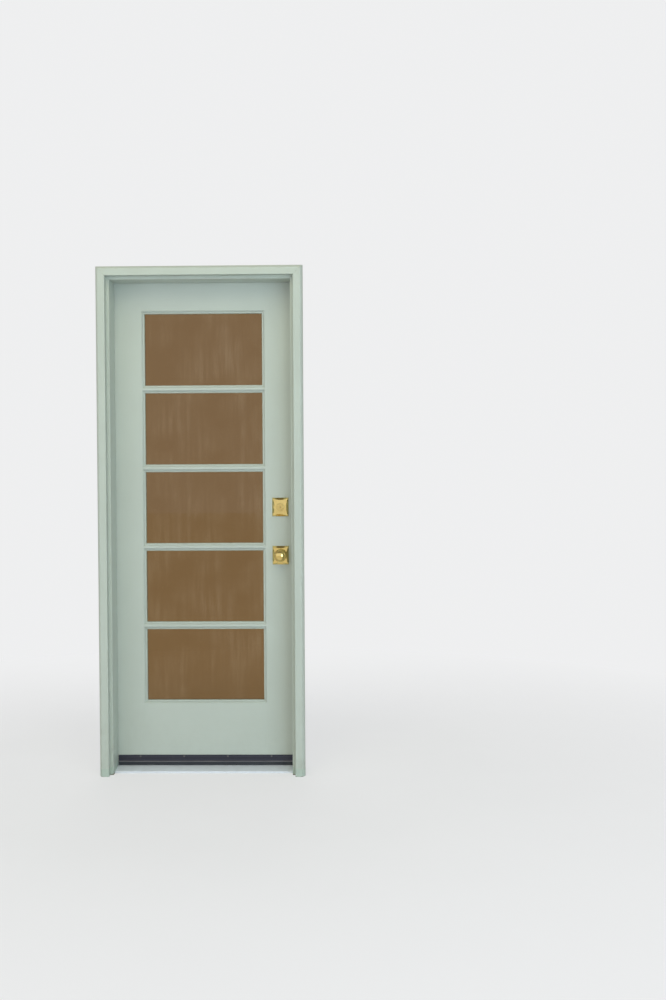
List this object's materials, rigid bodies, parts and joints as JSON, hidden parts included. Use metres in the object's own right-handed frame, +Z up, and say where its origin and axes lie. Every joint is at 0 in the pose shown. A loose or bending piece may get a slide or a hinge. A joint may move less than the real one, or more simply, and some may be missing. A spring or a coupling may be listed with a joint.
{
  "type": "glazed entry door with frame",
  "caption": "Single door leaf with stacked glass lites between slim bars, hinged in a rebated timber frame with outside casing, saddle threshold, foot sweep, brass knobs and deadbolt.",
  "frame": {"origin": "underside of the threshold, below the middle of the leaf's outside face", "axes": "+X from the hinge side to the lock side, +Y from outdoors to indoors, +Z up"},
  "size_m": [0.85, 0.2355, 2.1],
  "materials": {
    "leaf_paint": "satin sage paint on timber",
    "jamb_paint": "satin sage paint on timber",
    "casing_paint": "satin sage paint on timber",
    "tinted_glass": "clear bronze tint",
    "polished_brass": "polished",
    "lock_steel": "plain",
    "sill_metal": "mill finish, worn",
    "sweep_metal": "dark bronze anodised",
    "sweep_fixings": "dulled",
    "sweep_rubber": "matt",
    "foam_strip": "matt skin on foam"
  },
  "bodies": {
    "frame": {"hinge_jamb": "jamb_paint", "strike_jamb": "jamb_paint", "head_jamb": "jamb_paint", "hinge_side_casing": "casing_paint", "strike_side_casing": "casing_paint", "head_casing": "casing_paint", "threshold": "sill_metal", "hinge_side_weatherstrip": "foam_strip", "strike_side_weatherstrip": "foam_strip", "head_weatherstrip": "foam_strip", "latch_strike": "polished_brass", "deadbolt_strike": "polished_brass", "top_hinge_jamb_leaf": "polished_brass", "middle_hinge_jamb_leaf": "polished_brass", "bottom_hinge_jamb_leaf": "polished_brass", "top_hinge_pin": "polished_brass", "middle_hinge_pin": "polished_brass", "bottom_hinge_pin": "polished_brass", "frame_screws": "polished_brass"},
    "leaf": {"hinge_stile": "leaf_paint", "lock_stile": "leaf_paint", "top_rail": "leaf_paint", "bottom_rail": "leaf_paint", "glazing_bar_1": "leaf_paint", "glazing_bar_2": "leaf_paint", "glazing_bar_3": "leaf_paint", "glazing_bar_4": "leaf_paint", "glass_pane_1": "tinted_glass", "glass_pane_2": "tinted_glass", "glass_pane_3": "tinted_glass", "glass_pane_4": "tinted_glass", "glass_pane_5": "tinted_glass", "glazing_beads_1": "leaf_paint", "glazing_beads_2": "leaf_paint", "glazing_beads_3": "leaf_paint", "glazing_beads_4": "leaf_paint", "glazing_beads_5": "leaf_paint", "sweep_carrier": "sweep_metal", "sweep_seal": "sweep_rubber", "sweep_screws": "sweep_fixings", "top_hinge_door_leaf": "polished_brass", "middle_hinge_door_leaf": "polished_brass", "bottom_hinge_door_leaf": "polished_brass", "leaf_screws": "polished_brass", "outside_knob_rose": "polished_brass", "inside_knob_rose": "polished_brass", "latch_case": "lock_steel", "deadbolt_outside_rose": "polished_brass", "deadbolt_inside_rose": "polished_brass", "lock_cylinder": "polished_brass", "deadbolt_case": "lock_steel", "lock_bolts": "lock_steel"},
    "knobs": {"outside_knob": "polished_brass", "inside_knob": "polished_brass", "knob_spindle": "lock_steel"},
    "latch": {"latch_bolt": "polished_brass"},
    "thumb_turn": {"thumb_turn": "polished_brass", "tailpiece": "lock_steel"},
    "deadbolt": {"deadbolt": "polished_brass"},
    "key_plug": {"key_plug": "polished_brass"}
  },
  "joints": [
    {"name": "leaf_swing", "type": "hinge", "parent": "frame", "child": "leaf", "pos_m": [-0.3825, 0.052, 1.1035], "axis": [0, 0, 1], "range_deg": [0, 100]},
    {"name": "knob_turn", "type": "hinge", "parent": "leaf", "child": "knobs", "pos_m": [0.321, 0.02225, 0.904], "axis": [0, 1, 0], "range_deg": [-60, 0], "stiffness_Nm_per_rad": 0.5, "springref_deg": -60},
    {"name": "latch_slide", "type": "slide", "parent": "leaf", "child": "latch", "axis": [1, 0, 0], "range_m": [0, 0.0127]},
    {"name": "thumb_turn_turn", "type": "hinge", "parent": "leaf", "child": "thumb_turn", "pos_m": [0.321, 0.02225, 1.107], "axis": [0, 1, 0], "range_deg": [0, 90]},
    {"name": "deadbolt_slide", "type": "slide", "parent": "leaf", "child": "deadbolt", "axis": [1, 0, 0], "range_m": [0, 0.0254]},
    {"name": "key_turn", "type": "hinge", "parent": "leaf", "child": "key_plug", "pos_m": [0.321, 0, 1.107], "axis": [0, 1, 0], "range_deg": [0, 90]}
  ],
  "couplings": [
    {"joint": "latch_slide", "follows": "knob_turn", "m_per_rad": -0.01212},
    {"joint": "deadbolt_slide", "follows": "thumb_turn_turn", "m_per_rad": 0.01616}
  ]
}
